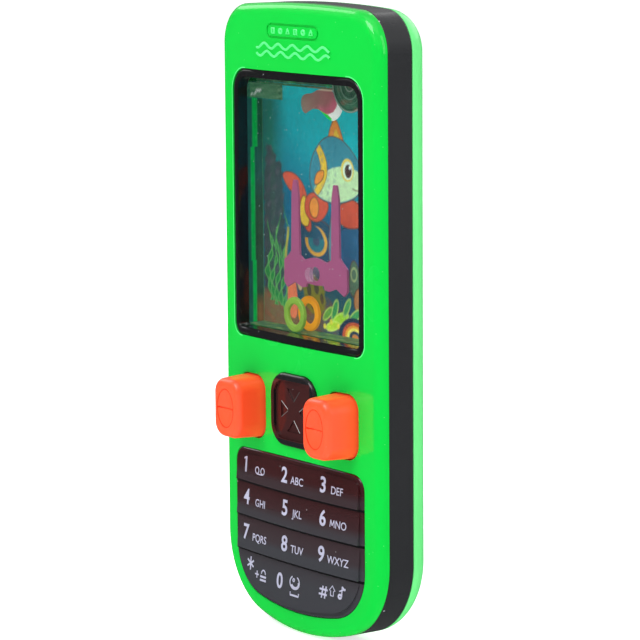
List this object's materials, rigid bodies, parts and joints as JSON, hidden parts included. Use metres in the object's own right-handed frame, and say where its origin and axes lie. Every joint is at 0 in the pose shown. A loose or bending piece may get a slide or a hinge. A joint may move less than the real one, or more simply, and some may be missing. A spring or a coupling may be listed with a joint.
{
  "type": "toy cell phone",
  "caption": "Hand-held water ring-toss toy shaped like a bar phone: clear tank with spikes and loose rings, pump buttons, dummy keypad.",
  "frame": {"origin": "middle of the flat back face", "axes": "+Z to the phone's top end, the screen faces -Y, +X to the viewer's right"},
  "size_m": [0.058, 0.0239, 0.139],
  "materials": {
    "case_green": "glossy moulded ABS",
    "cover_green": "glossy moulded ABS",
    "band_black": "satin black ABS",
    "bezel_black": "gloss black",
    "clear": "clear polystyrene",
    "card_print": "printed card",
    "spike_magenta": "translucent magenta",
    "ring_lime": "lime",
    "ring_orange": "orange",
    "key_brown": "dark brown gloss",
    "button_orange": "orange",
    "rubber_clear": "soft pump rubber",
    "pump_white": "natural white plastic",
    "screw_steel": "zinc plated"
  },
  "bodies": {
    "case": {"front_shell": "case_green", "mating_skirt": "case_green", "screw_bosses": "case_green", "left_button_guide": "case_green", "right_button_guide": "case_green", "side_band": "band_black", "rear_cover": "cover_green", "rear_screws": "screw_steel", "window_bezel": "bezel_black", "tank_window": "clear", "tank_body": "clear", "filler_plug": "clear", "picture_card": "card_print", "spike_stand": "spike_magenta", "stand_post": "clear", "navigation_pad": "key_brown", "keypad_panel": "key_brown", "pump_manifold": "pump_white", "left_pump_bellows": "rubber_clear", "right_pump_bellows": "rubber_clear", "left_jet_nozzle": "clear", "right_jet_nozzle": "clear"},
    "left_button": {"left_pump_button": "button_orange"},
    "right_button": {"right_pump_button": "button_orange"},
    "lime_ring": {"lime_ring": "ring_lime"},
    "orange_ring": {"orange_ring": "ring_orange"}
  },
  "joints": [
    {"name": "left_button_press", "type": "slide", "parent": "case", "child": "left_button", "axis": [0, 1, 0], "range_m": [0, 0.005], "stiffness_N_per_m": 250, "springref_m": -0.003, "deforming": ["left_pump_bellows"]},
    {"name": "right_button_press", "type": "slide", "parent": "case", "child": "right_button", "axis": [0, 1, 0], "range_m": [0, 0.005], "stiffness_N_per_m": 250, "springref_m": -0.003, "deforming": ["right_pump_bellows"]},
    {"name": "lime_ring_float", "type": "slide", "parent": "case", "child": "lime_ring", "axis": [0, 0, 1], "range_m": [0, 0.044]},
    {"name": "orange_ring_float", "type": "slide", "parent": "case", "child": "orange_ring", "axis": [0, 0, 1], "range_m": [0, 0.044]}
  ]
}
